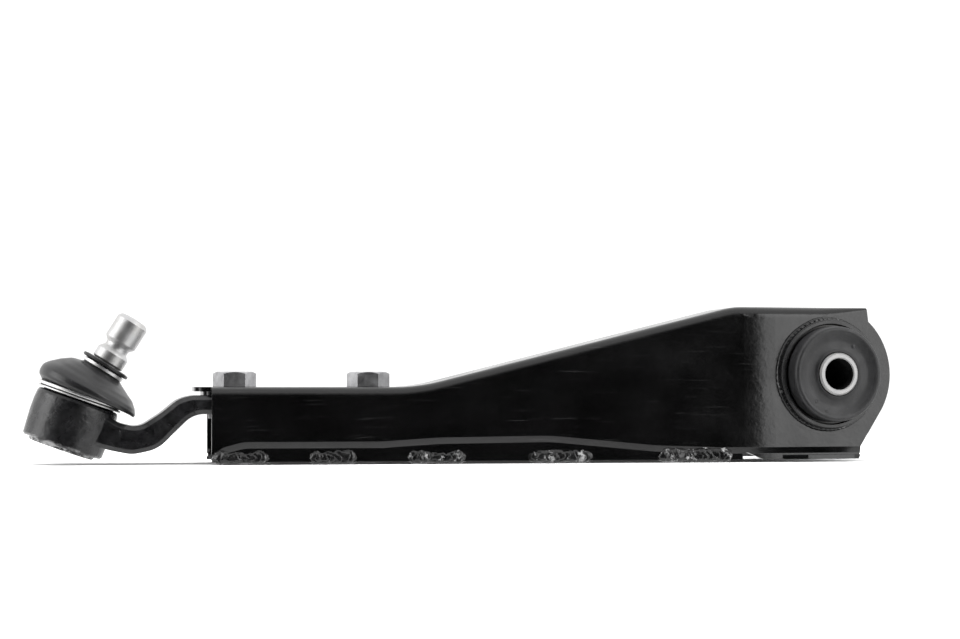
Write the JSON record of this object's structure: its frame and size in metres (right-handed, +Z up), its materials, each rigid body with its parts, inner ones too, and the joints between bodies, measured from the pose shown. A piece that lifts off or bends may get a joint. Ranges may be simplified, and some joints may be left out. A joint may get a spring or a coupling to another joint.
{
  "type": "suspension control arm",
  "caption": "Pressed-steel suspension control arm: a sloping welded box with a rubber bush at one end and a bolted-in ball joint with a pinch-groove pin at the other.",
  "frame": {"origin": "centre of the bush's bore", "axes": "+Y along the bush's bore, +Z up towards the arm's web and the ball joint's pin, the ball joint lies towards -X"},
  "size_m": [0.3975, 0.1063, 0.0719],
  "materials": {
    "black_paint": "satin black paint on pressed steel",
    "black_paint_plate": "satin black paint",
    "weld_front": "rippled weld bead under black paint",
    "weld_rear": "rippled weld bead under black paint",
    "black_paint_doubler": "satin black paint",
    "zinc_bolts": "dull zinc plating",
    "zinc_nuts": "dull zinc plating",
    "zinc_washers": "dull zinc plating",
    "black_paint_eye": "satin black paint",
    "weld_eye": "weld bead under black paint",
    "sleeve_dark": "dark phosphated steel",
    "bush_rubber": "matt black moulded rubber",
    "bright_sleeve": "bright machined steel",
    "forged_black": "black paint over forging skin",
    "seat_plastic": "natural acetal",
    "seat_plastic_lower": "natural acetal",
    "spring_steel": "oiled spring steel",
    "cover_black": "black paint",
    "ring_silver_lower": "bright spring wire",
    "boot_rubber": "smooth black rubber",
    "ring_silver_upper": "bright spring wire",
    "lip_rubber": "smooth black rubber",
    "stud_steel": "turned bright steel"
  },
  "bodies": {
    "arm": {"arm_shell": "black_paint", "closing_plate": "black_paint_plate", "front_stitch_welds": "weld_front", "rear_stitch_welds": "weld_rear", "web_doubler": "black_paint_doubler", "clamp_bolts": "zinc_bolts", "clamp_nuts": "zinc_nuts", "nut_washers": "zinc_washers", "eye_tube": "black_paint_eye", "eye_welds": "weld_eye", "bush_outer_sleeve": "sleeve_dark", "bush_rubber": "bush_rubber", "joint_housing": "forged_black", "upper_ball_seat": "seat_plastic", "lower_ball_seat": "seat_plastic_lower", "preload_spring": "spring_steel", "housing_cover": "cover_black", "boot_lower_ring": "ring_silver_lower"},
    "pivot_sleeve": {"pivot_sleeve": "bright_sleeve"},
    "boot": {"dust_boot": "boot_rubber"},
    "boot_collar": {"boot_upper_ring": "ring_silver_upper", "boot_lip": "lip_rubber"},
    "ball_stud": {"ball_stud": "stud_steel"}
  },
  "joints": [
    {"name": "bush_twist", "type": "hinge", "parent": "arm", "child": "pivot_sleeve", "pos_m": [0, 0, 0], "axis": [0, 1, 0], "range_deg": [-25, 25], "stiffness_Nm_per_rad": 57},
    {"name": "joint_azimuth", "type": "hinge", "parent": "arm", "child": "boot", "pos_m": [-0.34279, 0.05124, -0.0198], "axis": [0.3293, -0.0545, 0.9426], "continuous": true},
    {"name": "joint_tilt", "type": "hinge", "parent": "boot", "child": "boot_collar", "pos_m": [-0.34279, 0.05124, -0.0198], "axis": [0.1633, 0.9866, 0], "range_deg": [-37.5, 12.5], "deforming": ["dust_boot"]},
    {"name": "stud_spin", "type": "hinge", "parent": "boot_collar", "child": "ball_stud", "pos_m": [-0.34279, 0.05124, -0.0198], "axis": [0.5228, -0.0865, 0.848], "continuous": true}
  ]
}
